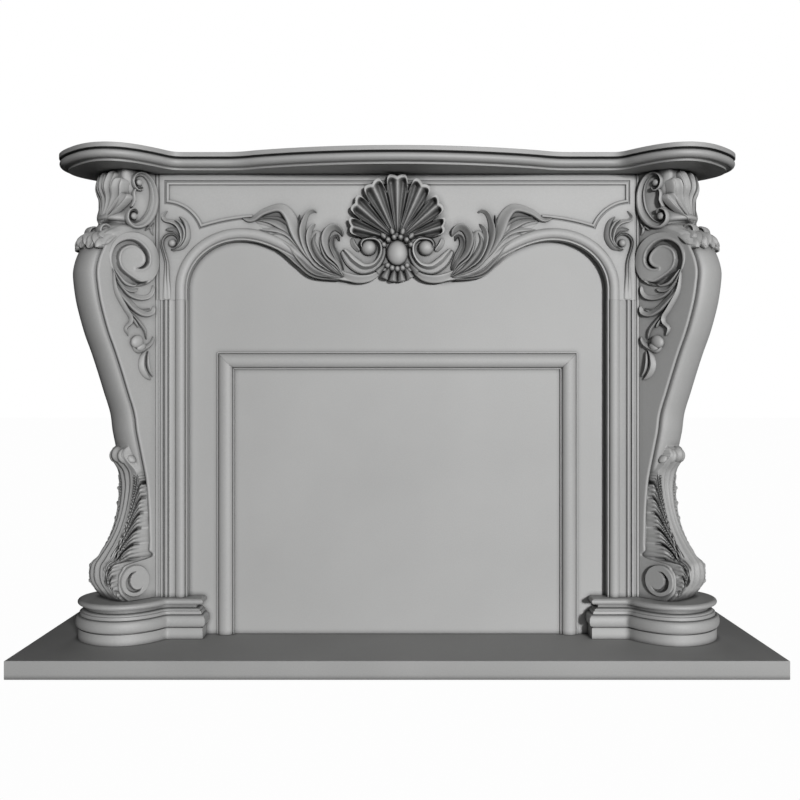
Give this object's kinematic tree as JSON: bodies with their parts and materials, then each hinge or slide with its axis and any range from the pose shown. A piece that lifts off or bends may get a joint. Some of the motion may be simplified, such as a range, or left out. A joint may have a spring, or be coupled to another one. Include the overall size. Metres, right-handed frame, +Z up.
{
  "type": "fireplace surround",
  "caption": "Carved stone chimneypiece with scroll consoles, an arched frieze with a shell, a moulded shelf and a hearth slab.",
  "frame": {"origin": "centre of the hearth slab's underside", "axes": "+X to the right seen from the front, -Y out of the front face, +Z up"},
  "size_m": [1.652, 0.5, 1.1494],
  "materials": {
    "honed_stone": "honed",
    "carved_stone": "carved and rubbed",
    "hearth_stone": "honed"
  },
  "bodies": {
    "root": {"hearth_slab": "hearth_stone", "back_panel": "honed_stone", "frame_left": "honed_stone", "frame_right": "honed_stone", "frame_head": "honed_stone", "right_plinth": "honed_stone", "left_plinth": "honed_stone", "right_jamb": "honed_stone", "left_jamb": "honed_stone", "right_bed_mould": "honed_stone", "left_bed_mould": "honed_stone", "right_console": "carved_stone", "left_console": "carved_stone", "frieze": "carved_stone", "mantel_shelf": "honed_stone"}
  },
  "joints": []
}
